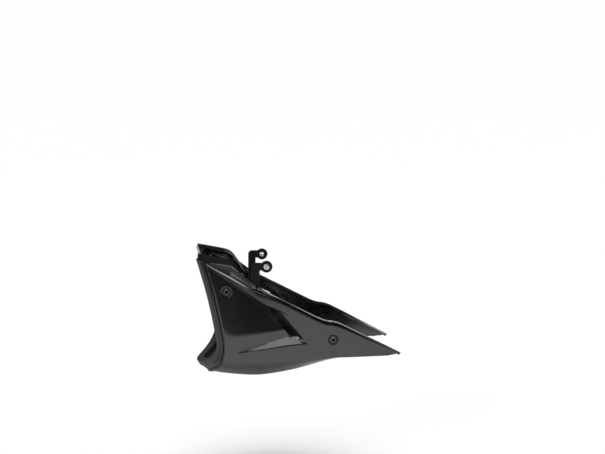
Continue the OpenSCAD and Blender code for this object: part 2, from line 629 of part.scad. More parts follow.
right() at_tab() engine_bolt();  // right_rear_bracket_bolt
seam_screws();
seam_nuts();
chin_rivets();
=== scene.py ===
import math

import bmesh
import bpy
from mathutils import Matrix, Vector


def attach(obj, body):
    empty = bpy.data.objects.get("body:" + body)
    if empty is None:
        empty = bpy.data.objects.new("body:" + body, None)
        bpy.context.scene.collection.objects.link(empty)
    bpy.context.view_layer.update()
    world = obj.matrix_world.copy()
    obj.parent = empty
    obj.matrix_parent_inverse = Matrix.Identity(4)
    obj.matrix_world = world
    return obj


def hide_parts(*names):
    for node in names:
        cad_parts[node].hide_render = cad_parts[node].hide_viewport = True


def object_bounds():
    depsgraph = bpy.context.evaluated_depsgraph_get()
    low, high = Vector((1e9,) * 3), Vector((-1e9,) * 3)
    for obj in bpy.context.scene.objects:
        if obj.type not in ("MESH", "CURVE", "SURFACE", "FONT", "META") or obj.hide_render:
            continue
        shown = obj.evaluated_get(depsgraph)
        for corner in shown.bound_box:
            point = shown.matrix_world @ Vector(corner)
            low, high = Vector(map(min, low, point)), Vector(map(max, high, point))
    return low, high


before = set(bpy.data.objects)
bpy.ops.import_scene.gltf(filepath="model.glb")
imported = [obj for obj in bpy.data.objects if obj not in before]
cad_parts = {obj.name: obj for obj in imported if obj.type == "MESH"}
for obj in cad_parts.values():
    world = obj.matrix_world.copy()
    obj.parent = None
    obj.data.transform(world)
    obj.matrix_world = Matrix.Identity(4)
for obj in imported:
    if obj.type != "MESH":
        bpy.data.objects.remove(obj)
cadBox = [list(corner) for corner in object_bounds()]
print("frame loaded:", len(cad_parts), "nodes")

# The form that the side panels and the nose share, in mm: x back from the chin lip, z up from the keel
pan = {
    "length": 365, "halfWidth": 145, "wall": 3,
    "wideX": 130, "wideZ": 110, "planBow": 40, "crown": 30,  # the widest place and the side's curve
    "topX": 16, "topZ": 216, "cornerX": 52, "cornerZ": 72, "edgeBow": 0.4,  # a side panel's front edge
    "creaseLead": 2, "creaseZ": 48,  # where the side turns under
    "keelX": 105, "keelNoseRise": 17, "keelTailPower": 1.8,  # the keel's lowest place, and its rises
    "floorX": 262, "rimWidth": 15, "nosePower": 1.5, "seamHeight": 14, "bellySteps": 6,
}
creaseX = pan["cornerX"] - pan["creaseLead"]


def mix(a, b, t):
    return a + (b - a) * t


def clamp(t):
    return min(1, max(0, t))


def unit(way):
    return way.normalized() if way.length > 1e-9 else way


def sideWidth(x, z):
    along = pan["planBow"] * ((x - pan["wideX"]) / pan["length"]) ** 2
    up = pan["crown"] * ((z - pan["wideZ"]) / pan["topZ"]) ** 2
    return pan["halfWidth"] - along - up


def keelHeight(x):
    if x < pan["keelX"]:
        return pan["keelNoseRise"] * ((pan["keelX"] - x) / pan["keelX"]) ** 2
    share = (x - pan["keelX"]) / (pan["floorX"] - pan["keelX"])
    return pan["creaseZ"] * share ** pan["keelTailPower"]


def downEdge(z):  # 0 at the top of a side panel's front edge, 1 at its corner
    return clamp((pan["topZ"] - z) / (pan["topZ"] - pan["cornerZ"]))


def edgeX(z):  # the front edge of a side panel, from its top to its corner
    down = downEdge(z)
    return mix(pan["topX"], pan["cornerX"], down + pan["edgeBow"] * down * (1 - down))


def toFrame(p):
    return Vector(((p[0] - pan["length"] / 2) / 1000, p[1] / 1000, p[2] / 1000))


# Mesh helpers
def addObject(name, mesh):
    obj = bpy.data.objects.new(name, mesh)
    bpy.context.scene.collection.objects.link(obj)
    return obj


def makeObject(name, points, faces):  # points in mm
    mesh = bpy.data.meshes.new(name)
    mesh.from_pydata([toFrame(p) for p in points], [], faces)
    mesh.update()
    return addObject(name, mesh)


def setCreases(mesh, lines, corners):
    onEdges = mesh.attributes.new("crease_edge", "FLOAT", "EDGE")
    for edge in mesh.edges:
        onEdges.data[edge.index].value = lines.get(frozenset(edge.vertices), 0.0)
    onPoints = mesh.attributes.new("crease_vert", "FLOAT", "POINT")
    for index, weight in corners.items():
        onPoints.data[index].value = weight


def settle(obj):  # turns an object's modifiers into plain mesh
    graph = bpy.context.evaluated_depsgraph_get()
    mesh = bpy.data.meshes.new_from_object(obj.evaluated_get(graph))
    obj.modifiers.clear()
    obj.data = mesh
    return obj


def smooth(obj, angle=35):
    obj.data.shade_smooth()
    obj.data.set_sharp_from_angle(angle=math.radians(angle))
    return obj


def subdivide(obj, levels):
    step = obj.modifiers.new("smooth form", "SUBSURF")
    step.levels = step.render_levels = levels
    step.use_limit_surface = False
    return settle(obj)


def combine(obj, tool, operation):
    step = obj.modifiers.new(operation, "BOOLEAN")
    step.operation, step.solver, step.object = operation, "EXACT", tool
    settle(obj)
    bpy.data.objects.remove(tool)
    return obj


def ringMesh(name, rings):  # a skin over rings of points, with a face at each end
    count = len(rings[0])
    last = (len(rings) - 1) * count
    points = [p for ring in rings for p in ring]
    faces = []
    for start in range(0, last, count):
        for k in range(count):
            m = (k + 1) % count
            faces.append((start + k, start + m, start + count + m, start + count + k))
    faces.append(tuple(reversed(range(count))))
    faces.append(tuple(last + k for k in range(count)))
    return makeObject(name, points, faces)


def fixNormals(obj):
    bm = bmesh.new()
    bm.from_mesh(obj.data)
    bmesh.ops.remove_doubles(bm, verts=bm.verts, dist=1e-6)
    bmesh.ops.recalc_face_normals(bm, faces=bm.faces)
    bm.to_mesh(obj.data)
    bm.free()
    return obj


def mirrorCopy(obj, name):
    mesh = obj.data.copy()
    mesh.transform(Matrix.Scale(-1, 4, (0, 1, 0)))
    mesh.flip_normals()
    return addObject(name, mesh)


def box(name, corners):  # a block from its corners, taken low before high along x, y and z
    faces = [(0, 1, 3, 2), (4, 6, 7, 5), (0, 4, 5, 1), (2, 3, 7, 6), (0, 2, 6, 4), (1, 5, 7, 3)]
    return fixNormals(makeObject(name, corners, faces))


def dress(obj, material, slot, *nodes):
    obj.data.materials.clear()
    obj.data.materials.append(material)
    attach(obj, "root")
    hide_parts(*nodes)
    return obj


# The side panels
side = {
    "kneeX": 62, "kneeDrop": 6.5, "notchX": 106, "notchZ": 175,  # the top edge, down to the bracket's notch
    "flatX": 225, "flatZ": 116, "flatLength": 25, "ribStart": 0.28,  # the rib, which starts behind the notch
    "tailZ": 55, "tailDrop": 5, "tailCut": 25, "tailSteps": 11,
    "shelfWidth": 30, "shelfRise": 14, "shelfDrop": 7, "lipWidth": 9,  # inside the top edge
    "chamferIn": 14, "chamferHeight": 21, "ribHeight": 5, "ribIn": 2,  # the light band along the top
    "lineDepth": 2.4, "lineWidth": 1.4, "ribLineDepth": 1.0,  # the thin groove in that band
    "ventX": 120, "ventZ": 144, "ventLength": 28, "ventDrop": 11, "ventRake": 46, "ventHeight": 58,
    "pointX": 197, "pointZ": 74, "returnU": 2.62, "returnWidth": 9, "returnDepth": 14,  # the vent's rear wall
    "facetDrop": 5, "facetSink": 17, "kneeSink": 10, "footSink": 8,  # the sunk triangular facet
    "borderU": 0.09, "borderFootU": 0.13, "borderSink": 5.5,  # the raised border in front of it
    "foldZ": 90, "foldSink": 4, "foldProud": 1.8,  # the soft fold below it
    "ledgeX": 69, "ledgeZ": 56, "ledgeHeight": 15,
    "bracketNotch": 16, "notchReach": (-3, 16), "notchTall": 30,
    "slotPlace": 2, "slotWidth": 4, "slotDepth": 8, "slotReach": (-8, 14), "slotLean": 2.5, "detail": 3,
}
topX, topZ, creaseZ, floorX = pan["topX"], pan["topZ"], pan["creaseZ"], pan["floorX"]
kneeX, kneeZ = side["kneeX"], topZ - side["kneeDrop"]
notchX, notchZ = side["notchX"], side["notchZ"]
flatX, flatZ = side["flatX"], side["flatZ"]
pointX, pointZ = side["pointX"], side["pointZ"]
ledgeX, ledgeZ = side["ledgeX"], side["ledgeZ"]
facetZ, foldZ = topZ - side["facetDrop"], side["foldZ"]
ventTop = (side["ventX"], side["ventZ"])
ventBackTop = (side["ventX"] + side["ventLength"], side["ventZ"] - side["ventDrop"])
ventFoot = (side["ventX"] + side["ventRake"], side["ventZ"] - side["ventHeight"])
ribStart = Vector((mix(notchX, flatX, side["ribStart"]), mix(notchZ, flatZ, side["ribStart"]), 0))
ribEnd = Vector((flatX + side["flatLength"], flatZ - 3, 0))


# A row runs back along the panel through seven knots, each a distance back, a height and an inset
def knots(*points):
    return [Vector(p) for p in points]


def tail(step):  # a row's last knot, on the end of the tail
    share = step / side["tailSteps"]
    return (mix(pan["length"], pan["length"] - side["tailCut"], share),
            mix(side["tailZ"], side["tailZ"] - side["tailDrop"], share), mix(2, 0, share))


def ribKnots(drop, inset, step):
    return [(ribStart.x + drop * 0.5, ribStart.y - drop, inset),
            (flatX + drop * 0.2, flatZ - drop, inset),
            (ribEnd.x + drop * 0.2, ribEnd.y - drop, inset), tail(step)]


def lineRow(rise, extra):  # the thin line in the light chamfer, which goes on as the line under the rib
    kneeFall = side["chamferHeight"] * 0.76 - rise
    return knots((topX, topZ - 2 + rise * 0.2, 0.5),
                 (kneeX - 2, kneeZ - kneeFall, side["chamferIn"] * 0.3 + extra + rise * 0.5),
                 (notchX - 2, notchZ - 7 + rise, 2 + extra + rise * 0.4),
                 *ribKnots(side["ribHeight"] - rise, 0.8 + extra * side["ribLineDepth"], 2))


def facetLine(x):  # the height of the facet's upper edge
    return mix(facetZ, side["ventZ"], (x - topX) / (side["ventX"] - topX))


def onLine(z, start, end):
    return mix(start[0], end[0], (start[1] - z) / (start[1] - end[1]))


rows = {
    "top": knots((topX, topZ, 1), (kneeX, kneeZ, side["chamferIn"]), (notchX, notchZ, 6),
                 *ribKnots(0, side["ribIn"], 0)),
    "bead": knots((topX, topZ - 1, 0.8),
                  (kneeX - 1, kneeZ - side["chamferHeight"] * 0.42, side["chamferIn"] * 0.55),
                  (notchX - 1, notchZ - 4, 3.5), *ribKnots(side["ribHeight"] * 0.45, -0.6, 1)),
    "lineTop": lineRow(side["lineWidth"], 0),
    "lineDeep": lineRow(0, side["lineDepth"]),
    "lineFoot": lineRow(-side["lineWidth"], 0),
    "crest": knots((topX, topZ - 3, 0), (kneeX - 2, kneeZ - side["chamferHeight"], 0),
                   (notchX, notchZ - 12, 0), *ribKnots(side["ribHeight"] + 4, 0, 3)),
    "facetEdge": knots((edgeX(facetZ), facetZ, 0), (kneeX, facetLine(kneeX), 0), (*ventTop, 0),
                       (*ventBackTop, 0), (flatX + 4, flatZ - 18, 0), (floorX - 10, flatZ - 22, 0), tail(4)),
    "fold": knots((edgeX(foldZ - 3), foldZ - 3, 0), (ledgeX - 2, foldZ - 9, 0.5),
                  (onLine(foldZ + 7, ventTop, ventFoot), foldZ + 7, side["foldSink"]),
                  (onLine(foldZ - 5, ventBackTop, (pointX, pointZ)), foldZ - 5, 0),
                  (flatX + 10, pointZ, 0), (floorX - 6, pointZ - 2, 0), tail(8)),
    "ledgeInner": knots((pan["cornerX"], pan["cornerZ"], 0), (ledgeX, ledgeZ, 0),
                        (*ventFoot, side["footSink"]), (pointX, pointZ + 1, 0),
                        (flatX + 12, pointZ - 7, 0), (floorX - 4, pointZ - 9, 0), tail(9)),
    "ledgeOuter": knots((pan["cornerX"] + 0.5, mix(pan["cornerZ"], creaseZ, 0.4), 0),
                        (ledgeX + 1, ledgeZ - 1, 0), (ventFoot[0] + 3, ventFoot[1] - side["ledgeHeight"], 0),
                        (pointX + 1, pointZ - 1, 0), (flatX + 14, pointZ - 12, 0),
                        (floorX - 2, pointZ - 13, 0), tail(10)),
    "crease": knots((creaseX, creaseZ, 0), (ledgeX + 3, creaseZ, 0), (ventFoot[0] + 9, creaseZ, 0),
                    (pointX + 9, creaseZ, 0), (flatX + 20, creaseZ, 0), (floorX, creaseZ, 0), tail(11)),
}
rows["facetTop"] = [k.copy() for k in rows["facetEdge"]]
for k, sink in enumerate((0, side["kneeSink"], side["facetSink"], 0, 0, 0, 0)):
    rows["facetTop"][k] += Vector((0, -1, sink))
for name, t in (("facetHigh", 1 / 3), ("facetLow", 2 / 3)):
    rows[name] = [a.lerp(b, t) for a, b in zip(rows["facetTop"], rows["fold"])]
    rows[name][0].x = edgeX(rows[name][0].y)

rowNames = ["shelfFoot", "ridge", "top", "bead", "lineTop", "lineDeep", "lineFoot", "crest", "facetEdge",
            "facetTop", "facetHigh", "facetLow", "fold", "ledgeInner", "ledgeOuter", "crease"]
creaseRow = rowNames.index("crease")
rowNames += ["belly" + str(k) for k in range(1, pan["bellySteps"])] + ["keel", "seam"]
at = {name: j for j, name in enumerate(rowNames)}

keelFlat = mix(creaseX, floorX, (pan["keelX"] - pan["rimWidth"]) / (floorX - pan["rimWidth"]))
keelU = 1 + (keelFlat - rows["crease"][1].x) / (rows["crease"][2].x - rows["crease"][1].x)
# Places along the rows, where whole numbers are the knots
columns = [0, side["borderU"], side["borderFootU"], 1 / 3, 2 / 3, 1, 4 / 3, keelU, 5 / 3, 2,
           side["returnU"], 3, 10 / 3, 11 / 3, 4, 4.5, 5, 5.25, 5.5, 5.75, 6]
ventColumn = columns.index(2)
floorColumn = columns.index(5)
flangeColumn = columns.index(2 / 3)


def onRow(row, u):
    k = min(5, int(u))
    return row[k].lerp(row[k + 1], u - k)


def lookUp(u, steps):
    for (u0, v0), (u1, v1) in zip(steps, steps[1:]):
        if u <= u1:
            return mix(v0, v1, clamp((u - u0) / (u1 - u0)))
    return steps[-1][1]


def ridgePoint(u):  # the shelf rises inwards and dies into the rolled lip between knee and notch
    rise, lip, wide = side["shelfRise"], side["lipWidth"], side["shelfWidth"]
    back = lookUp(u, [(0, -13), (1, 4), (4 / 3, 0), (5 / 3, 0), (5, 0), (6, -2)])
    up = lookUp(u, [(0, rise), (1, rise * 0.65), (4 / 3, rise * 0.3), (5 / 3, -lip * 0.6), (6, -lip * 0.3)])
    inwards = lookUp(u, [(0, wide), (1, wide * 0.7), (4 / 3, wide * 0.5), (5 / 3, lip), (5, lip),
                         (6, lip * 0.4)])
    return onRow(rows["top"], u) + Vector((back, up, inwards))


def onSide(p):
    return Vector((p.x, -(sideWidth(p.x, p.y) - p.z), p.y))


def bellyPoint(alongX, angle):  # below the crease the section is a quarter of an ellipse
    front = mix(pan["rimWidth"], creaseX, max(0, math.cos(angle)) ** pan["nosePower"])
    x = mix(front, floorX, (alongX - creaseX) / (floorX - creaseX))
    wide = sideWidth(alongX, creaseZ) * math.cos(angle)
    return Vector((x, -max(0, wide), creaseZ - (creaseZ - keelHeight(x)) * math.sin(angle)))


def facetPoint(u, name):  # the facet is flat from its top down to its fold, and sunk behind the front border
    top, fold, p = onRow(rows["facetTop"], u), onRow(rows["fold"], u), onRow(rows[name], u)
    if u <= side["borderU"]:
        return onSide(Vector((p.x, p.y, 0)))
    foot, proud = side["borderFootU"], side["foldProud"]
    sinkTop = lookUp(u, [(foot, side["borderSink"]), (1, side["kneeSink"]), (2, side["facetSink"])])
    sinkFold = lookUp(u, [(foot, -proud), (1, -proud), (2, side["foldSink"])])
    wide = mix(sideWidth(top.x, top.y) - sinkTop, sideWidth(fold.x, fold.y) - sinkFold,
               (top.y - p.y) / (top.y - fold.y))
    return Vector((p.x, -wide, p.y))


def returnPoint(name):  # the wall that turns inwards behind the vent
    outer, width = rows[name][3], side["returnWidth"]
    return onSide(Vector((outer.x - width, outer.y + width * 0.3, side["returnDepth"])))


def panelPoint(u, name):
    j = at[name]
    if j > creaseRow:
        alongX = onRow(rows["crease"], min(u, 5)).x
        angle = min(1, (j - creaseRow) / pan["bellySteps"]) * math.pi / 2
        lift = pan["seamHeight"] if name == "seam" else 0
        return bellyPoint(alongX, angle) + Vector((0, 0, lift))
    if name == "shelfFoot":
        return onSide(ridgePoint(u) + Vector((0, -side["shelfDrop"], 1)))
    if name == "ridge":
        return onSide(ridgePoint(u))
    if u == side["returnU"] and at["facetTop"] <= j < at["ledgeInner"]:
        return returnPoint(name)
    if u <= 2 and at["facetTop"] <= j <= at["fold"]:
        return facetPoint(u, name)
    return onSide(onRow(rows[name], u))


def isPlastic(i, j):
    if not (0 <= i < len(columns) - 1 and 0 <= j < len(rowNames) - 1):
        return False
    inVent = i == ventColumn and at["facetTop"] <= j < at["ledgeInner"]
    behindFloor = j >= creaseRow and i >= floorColumn
    noShelf = j == 0 and i >= ventColumn
    noFlange = j == at["keel"] and i < flangeColumn
    return not (inVent or behindFloor or noShelf or noFlange)


# How sharp each line along the panel is, and over which part of its length: 0 is soft, 1 is a knife edge
sharpRows = {
    "ridge": (0.8, 0, 5 / 3), "top": (1.0, 0, 6), "bead": (0.8, 0, 6), "lineTop": (0.8, 0, 6),
    "lineDeep": (0.7, 0, 6), "lineFoot": (0.8, 0, 6), "crest": (0.9, 0, 2.3), "facetEdge": (1.0, 0, 3),
    "facetTop": (1.0, 0, 3), "fold": (0.3, 0, 2), "ledgeInner": (0.9, 1, 3), "ledgeOuter": (0.85, 1, 3),
    "crease": (0.3, 1.3, 5), "keel": (1.0, 0, 5),
}
# Lines down the panel that are sharp too, each with its place along and its first and last row
sharpUprights = [(3, "facetTop", "ledgeInner"), (side["borderU"], "facetEdge", "fold"),
                 (side["borderFootU"], "facetTop", "fold"), (1, "top", "crest")]
sharpCorners = [("top", 1), ("facetEdge", 2), ("facetTop", 2), ("facetEdge", 3), ("facetTop", 3),
                ("ledgeInner", 2), ("ledgeInner", 3), ("ledgeOuter", 3), ("ledgeInner", 1),
                ("top", 6), ("top", 0)]
outerSharpness, innerSharpness = 0.8, 0.7


def panelCage():  # the outer skin, an inner one a wall's thickness behind it, and the walls between
    grid = [[panelPoint(u, name) for name in rowNames] for u in columns]
    wide, tall = len(columns), len(rowNames)
    inner = wide * tall
    cells = {}
    for i in range(wide - 1):
        for j in range(tall - 1):
            if isPlastic(i, j):
                cells[i, j] = unit((grid[i + 1][j + 1] - grid[i][j]).cross(grid[i][j + 1] - grid[i + 1][j]))
    points = [p for column in grid for p in column]
    for i in range(wide):
        for j in range(tall):
            near = [cells[c] for c in ((i - 1, j - 1), (i - 1, j), (i, j - 1), (i, j)) if c in cells]
            way = unit(sum(near, Vector()))
            fit = min([normal.dot(way) for normal in near], default=1)
            points.append(grid[i][j] + way * pan["wall"] / max(0.6, fit))

    faces, lines = [], {}

    def spot(i, j):
        return i * tall + j

    def wallBetween(a, b):
        faces.append((b, a, a + inner, b + inner))
        lines[frozenset((a, b))] = outerSharpness
        lines[frozenset((a + inner, b + inner))] = innerSharpness

    def sharpen(a, b, weight):
        pair = frozenset((a, b))
        lines[pair] = max(weight, lines.get(pair, 0))

    for i, j in cells:
        a, b, c, d = spot(i, j), spot(i, j + 1), spot(i + 1, j + 1), spot(i + 1, j)
        faces.append((a, b, c, d))
        faces.append((a + inner, d + inner, c + inner, b + inner))
        borders = [(a, b, (i - 1, j)), (b, c, (i, j + 1)), (c, d, (i + 1, j)), (d, a, (i, j - 1))]
        for start, end, beside in borders:
            if beside not in cells:
                wallBetween(start, end)
    for name, (weight, start, end) in sharpRows.items():
        j = at[name]
        for i in range(wide - 1):
            if start - 0.01 <= columns[i] and columns[i + 1] <= end + 0.01:
                a, b = spot(i, j), spot(i + 1, j)
                sharpen(a, b, weight)
                sharpen(a + inner, b + inner, weight * innerSharpness)
    for u, first, last in sharpUprights:
        i = columns.index(u)
        for j in range(at[first], at[last]):
            lines[frozenset((spot(i, j), spot(i, j + 1)))] = outerSharpness
    corners = {spot(columns.index(u), at[name]): 1.0 for name, u in sharpCorners}
    obj = makeObject("leftPanelSkin", points, faces)
    setCreases(obj.data, lines, corners)
    return obj


# The two places where a panel is screwed on: distance back, height, depth below the side, and the fixing
seats = {
    "frontX": 54, "frontZ": 164, "frontDepth": 8.6, "rearX": 243, "rearZ": 80, "rearDepth": 2.2,
    "dishRadius": 9, "bossThickness": 4, "bossEdge": 2, "holeRadius": 6, "grommetLip": 1.5, "bushFlange": 1.2,
    "nutFlange": 1, "cornerRadius": 0.9,
}


def seatAt(x, z, depth):
    return Vector((x, sideWidth(x, z) - depth, z))


frontSeat = seatAt(seats["frontX"], seats["frontZ"], seats["frontDepth"])
rearSeat = seatAt(seats["rearX"], seats["rearZ"], seats["rearDepth"])
bushEnd = seats["bossThickness"] + seats["grommetLip"] + seats["bushFlange"]
frontPlate = bushEnd + pan["wall"] + seats["nutFlange"]  # how far inside the seat each bracket lies
rearPlate = bushEnd + seats["nutFlange"]


def fromSeat(seat, x, y, depth):  # a place beside a seat's axis, that far into the pan
    return Vector((seat.x + x, depth - seat.y, seat.z - y))


def turned(name, seat, profile, count=72):  # a turned part from pairs of radius and depth
    rings = []
    for radius, depth in profile:
        ring = []
        for k in range(count):
            a = 2 * math.pi * k / count
            r = radius(a) if callable(radius) else max(radius, 0.001)
            ring.append(fromSeat(seat, r * math.cos(a), r * math.sin(a), depth))
        rings.append(ring)
    return fixNormals(ringMesh(name, rings))


def cutSeats(panel):  # a boss behind each screw, with its dish and hole cut from outside
    r, t, c = seats["dishRadius"], seats["bossThickness"], seats["cornerRadius"]
    edge, hole = r + seats["bossEdge"], seats["holeRadius"]
    rounding = [(r - c * (1 - math.cos(a)), -c * (1 - math.sin(a)))
                for a in (0, math.pi / 6, math.pi / 3, math.pi / 2)]
    for seat in (frontSeat, rearSeat):
        boss = [(0, -t / 2), (edge - 0.6, -t / 2), (edge, 0), (edge, t - c), (edge - c, t), (0, t)]
        combine(panel, turned("boss", seat, boss), "UNION")
        dish = [(0, -9), (r, -9)] + rounding + [(hole, 0), (hole, t + 2), (0, t + 2)]
        combine(panel, turned("dish", seat, dish), "DIFFERENCE")
    return panel


def cutNotch(panel):  # room for the bracket strip behind the rolled lip
    half, tall = side["bracketNotch"] / 2, side["notchTall"]
    y = bushEnd - frontSeat.y + pan["wall"] + 1
    corners = [(notchX + a * half, y + b, notchZ + c)
               for a in (-1, 1) for b in side["notchReach"] for c in (-tall, tall)]
    return combine(panel, box("notch", corners), "DIFFERENCE")


def cutSlot(panel):  # the narrow slot between the knee facet and the start of the rib
    x, half, depth = notchX + side["slotPlace"], side["slotWidth"] / 2, side["slotDepth"]
    y = -sideWidth(x, notchZ)
    corners = [(x + a * half + c * side["slotLean"], y + b, notchZ + c * depth)
               for a in (-1, 1) for b in side["slotReach"] for c in (-1, 1)]
    return combine(panel, box("slot", corners), "DIFFERENCE")


leftPanel = subdivide(panelCage(), side["detail"])
cutSeats(leftPanel)
cutNotch(leftPanel)
cutSlot(leftPanel)
smooth(leftPanel)
rightPanel = mirrorCopy(leftPanel, "rightPanelSkin")
print("side panels:", len(leftPanel.data.polygons), "faces each")

# The nose piece
nose = {
    "cornerX": 37, "topZ": 222, "bow": 0.40, "lipZ": 25,  # its front lip, from the top corner to the chin
    "limbDepth": 30, "limbDepthLow": 16, "chinDepth": 13,  # how far its section reaches inwards
    "beadHeight": 1.4, "tuckLength": 12, "tuckGap": 0.6, "gap": 0.3, "topGap": 2, "topLift": 8,
    "turnAngle": 15, "detail": 3,
}
stations = ["top", "facetEdge"] + rowNames[at["facetHigh"]:at["seam"]]


def noseTurn(name):  # 0 on the limbs, 90 degrees at the middle of the chin
    j, turn = at[name], nose["turnAngle"]
    if j <= at["ledgeInner"]:
        return 0
    if j <= creaseRow:
        return turn * (j - at["ledgeInner"]) / (creaseRow - at["ledgeInner"])
    return mix(turn, 90, (j - creaseRow) / pan["bellySteps"])


def lipPoint(name):
    turn = math.radians(noseTurn(name))
    if at[name] <= at["ledgeInner"]:
        down = downEdge(panelPoint(0, name).z)
        x = nose["cornerX"] * (down + nose["bow"] * down * (1 - down))
        z = mix(nose["topZ"], pan["cornerZ"], down)
        return Vector((x, -sideWidth(x, z), z))
    x = nose["cornerX"] * max(0, math.cos(turn)) ** pan["nosePower"]
    wide = sideWidth(nose["cornerX"], pan["cornerZ"]) * math.cos(turn)
    return Vector((x, -max(0, wide) if turn < 1.57 else 0,
                   pan["cornerZ"] - (pan["cornerZ"] - nose["lipZ"]) * math.sin(turn)))


def blendPairs(a, b, t):
    return [(mix(p[0], q[0], t), mix(p[1], q[1], t)) for p, q in zip(a, b)]


def runWay(line, i):  # the way that a line of points runs at one of them
    if i == len(line) - 1:
        return Vector((0, 1, 0))
    return unit(line[i + 1] - line[max(0, i - 1)])


def noseSections():  # from the left limb's top to the middle of the chin, each a ring round the wall
    lip = [lipPoint(name) for name in stations]
    back = [panelPoint(0, name) for name in stations]
    tuck = []
    for name, q in zip(stations, back):
        reach = nose["tuckGap"] if at[name] < at["facetTop"] else nose["tuckLength"]
        tuck.append(q + unit(panelPoint(1, name) - q) * reach)

    wall, bead, chin = pan["wall"], nose["beadHeight"], nose["chinDepth"]
    g = wall + nose["tuckGap"]
    sections = []
    for i, name in enumerate(stations):
        p, q, b = lip[i], back[i], unit(tuck[i] - back[i])
        a, length = unit(q - p), (q - p).length
        out, flangeOut = unit(runWay(lip, i).cross(a)), unit(runWay(back, i).cross(b))
        turn = noseTurn(name) / 90  # 0 on the limbs, 1 at the chin
        top = 1 if i == 0 else 0
        depth = mix(nose["limbDepth"], nose["limbDepthLow"], downEdge(q.z))
        gap = mix(nose["gap"], nose["topGap"], top)
        # Pairs of a distance back across the front face and a height above it
        rim = [(0.86 * length, 0), (0.79 * length, -1.5 * bead), (0.73 * length, 0.2), (0.48 * length, 0.2),
               (0.46 * length, 1.2 * bead), (0.42 * length, 1.25 * bead), (0.15 * length, 0.05 * bead),
               (0.12 * length, -0.3), (0, -0.5)]
        face = blendPairs([(1.2, -4), (2.2, -depth / 2), (4, -depth)],
                          [(-1, -5), (0, -chin * 0.8), (8, -chin - 1)], turn)
        limbBack = blendPairs([(4 + wall, -depth), (2.2 + wall, -depth / 2), (2 + wall, -wall - 2.5)],
                              [(8, -depth), (9.5, -depth / 2), (length - 6, -g - wall - 2)], top)
        chinBack = [(8.5, wall - 1 - chin), (3, wall - chin * 0.8), (4, -wall - 1.5)]
        innerBack = blendPairs(limbBack, chinBack, turn)
        inside = blendPairs([(0.45 * length, -wall - 0.4)],
                            [(length - gap - wall - 0.6, -g - wall - 0.6)], top)
        lift = top * nose["topLift"]
        ring = [tuck[i] - flangeOut * g, q - b * gap - flangeOut * g, q - b * gap - flangeOut * nose["gap"]]
        for along, outwards in rim + face + innerBack + inside:
            ring.append(p + a * along + out * outwards + Vector((0, 0, lift * max(0, -outwards) / depth)))
        root = q - b * (gap + wall)
        ring += [root - flangeOut * mix(wall + 0.4, g + wall - nose["gap"], top),
                 root - flangeOut * (g + wall), tuck[i] - flangeOut * (g + wall)]
        sections.append(ring)
    return sections


# For each point on the outside of a section, the point across the wall from it
acrossWall = [21, 20, 19, 19, 19, 19, 19, 18, 18, 18, 18, 17, 17, 16, 15]
# How sharp the lines that run round the nose are, by their place in the section
sharpBands = {0: 0.8, 1: 0.7, 2: 0.8, 3: 0.8, 4: 0.9, 5: 0.8, 6: 0.8, 7: 0.6, 8: 0.6, 9: 0.7, 10: 0.7,
              11: 0.5, 20: 0.7, 21: 0.8}


def noseCage():
    half = noseSections()
    rings = half + [[Vector((p.x, -p.y, p.z)) for p in ring] for ring in reversed(half[:-1])]
    count = len(half[0])
    last = (len(rings) - 1) * count
    points = [p for ring in rings for p in ring]
    faces, lines = [], {}
    for i in range(len(rings) - 1):
        for k in range(count):
            m = (k + 1) % count
            faces.append((i * count + k, (i + 1) * count + k, (i + 1) * count + m, i * count + m))
    for k in range(len(acrossWall) - 1):
        a, b = acrossWall[k], acrossWall[k + 1]
        cap = (k, k + 1, b) if a == b else (k, k + 1, b, a)
        faces.append(cap)
        faces.append(tuple(last + c for c in reversed(cap)))
    for k in range(count):
        m = (k + 1) % count
        for start in (0, last):
            lines[frozenset((start + k, start + m))] = outerSharpness
        for i in range(len(rings) - 1):
            weight = sharpBands.get(k, 0)
            if k == 11:  # the lip's edge softens towards the chin
                weight *= abs(i - len(half) + 1) / len(half)
            lines[frozenset((i * count + k, (i + 1) * count + k))] = weight
    corner = stations.index("ledgeInner")
    for ring in (corner, len(rings) - 1 - corner):  # the bands turn sharply at the corner of the rim
        for k in range(2, 14):
            lines[frozenset((ring * count + k, ring * count + k + 1))] = 0.75
    obj = makeObject("noseSkin", points, faces)
    setCreases(obj.data, lines, {})
    return fixNormals(obj)


noseSkin = smooth(subdivide(noseCage(), nose["detail"]))
print("nose piece:", len(noseSkin.data.polygons), "faces")

# The panel screws and the engine bolts
panelScrew = {"thread": 3, "headRadius": 5.8, "headHeight": 3.2, "key": 2.34, "keyDepth": 2.6, "pitch": 1.0,
              "threadDepth": 0.3, "nutLength": 11}
engineBolt = {"thread": 3, "headRadius": 5.3, "headHeight": 4, "key": 2.88, "keyDepth": 2.4, "pitch": 1.0,
              "threadDepth": 0.35, "shoulder": 4, "shoulderLength": 3.5, "free": 22,
              "earX": 125, "earZ": 208, "tabX": 221, "tabY": 92, "tabZ": 80}
earSeat = Vector((engineBolt["earX"], frontSeat.y - frontPlate, engineBolt["earZ"]))
tabSeat = Vector((engineBolt["tabX"], engineBolt["tabY"], engineBolt["tabZ"]))


def hexagon(width):
    def radius(angle):
        return width * math.cos(math.pi / 6) / math.cos(angle % (math.pi / 3) - math.pi / 6)
    return radius


def threadProfile(screw, start, end):
    radius, pitch = screw["thread"], screw["pitch"]
    profile, depth = [(radius, start)], start + pitch
    while depth < end - pitch:
        profile += [(radius - screw["threadDepth"], depth), (radius, depth + pitch / 2)]
        depth += pitch
    return profile + [(radius, end - 0.8), (radius - 0.7, end), (0, end)]


